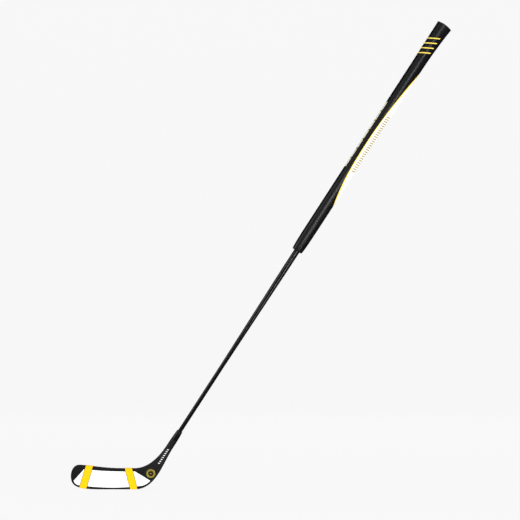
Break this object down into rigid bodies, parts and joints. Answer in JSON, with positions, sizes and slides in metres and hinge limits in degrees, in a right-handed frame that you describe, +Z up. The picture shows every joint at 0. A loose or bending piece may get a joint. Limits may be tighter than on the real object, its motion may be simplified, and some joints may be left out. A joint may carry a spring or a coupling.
{
  "type": "golf putter",
  "caption": "Golf putter shaped like a hockey stick: a flat blade with a white face plate and wrapped bands, a slim tapered shaft and a long swelling grip.",
  "frame": {"origin": "centre of the flat sole, on the ground the putter stands on", "axes": "+X from toe to heel, the way the shaft leans; -Y is where the striking face looks; +Z up"},
  "size_m": [0.6099, 0.0268, 0.7508],
  "materials": {
    "head_black": "satin",
    "face_white": "satin",
    "bond": "matte",
    "band_yellow": "matte",
    "badge": "gloss",
    "shaft_black": "gloss",
    "ferrule_black": "gloss",
    "plug_foam": "matte",
    "tape_paper": "matte",
    "core_foam": "matte",
    "grip_black": "satin",
    "cap_rubber": "matte"
  },
  "bodies": {
    "root": {"head_body": "head_black", "face_insert": "face_white", "insert_adhesive": "bond", "toe_tape_band": "band_yellow", "heel_tape_band": "band_yellow", "heel_medallion": "badge", "shaft": "shaft_black", "shaft_epoxy": "bond", "shaft_tip_plug": "plug_foam", "ferrule": "ferrule_black", "grip_tape": "tape_paper", "grip_core": "core_foam", "grip_skin": "grip_black", "grip_end_cap": "cap_rubber"}
  },
  "joints": []
}
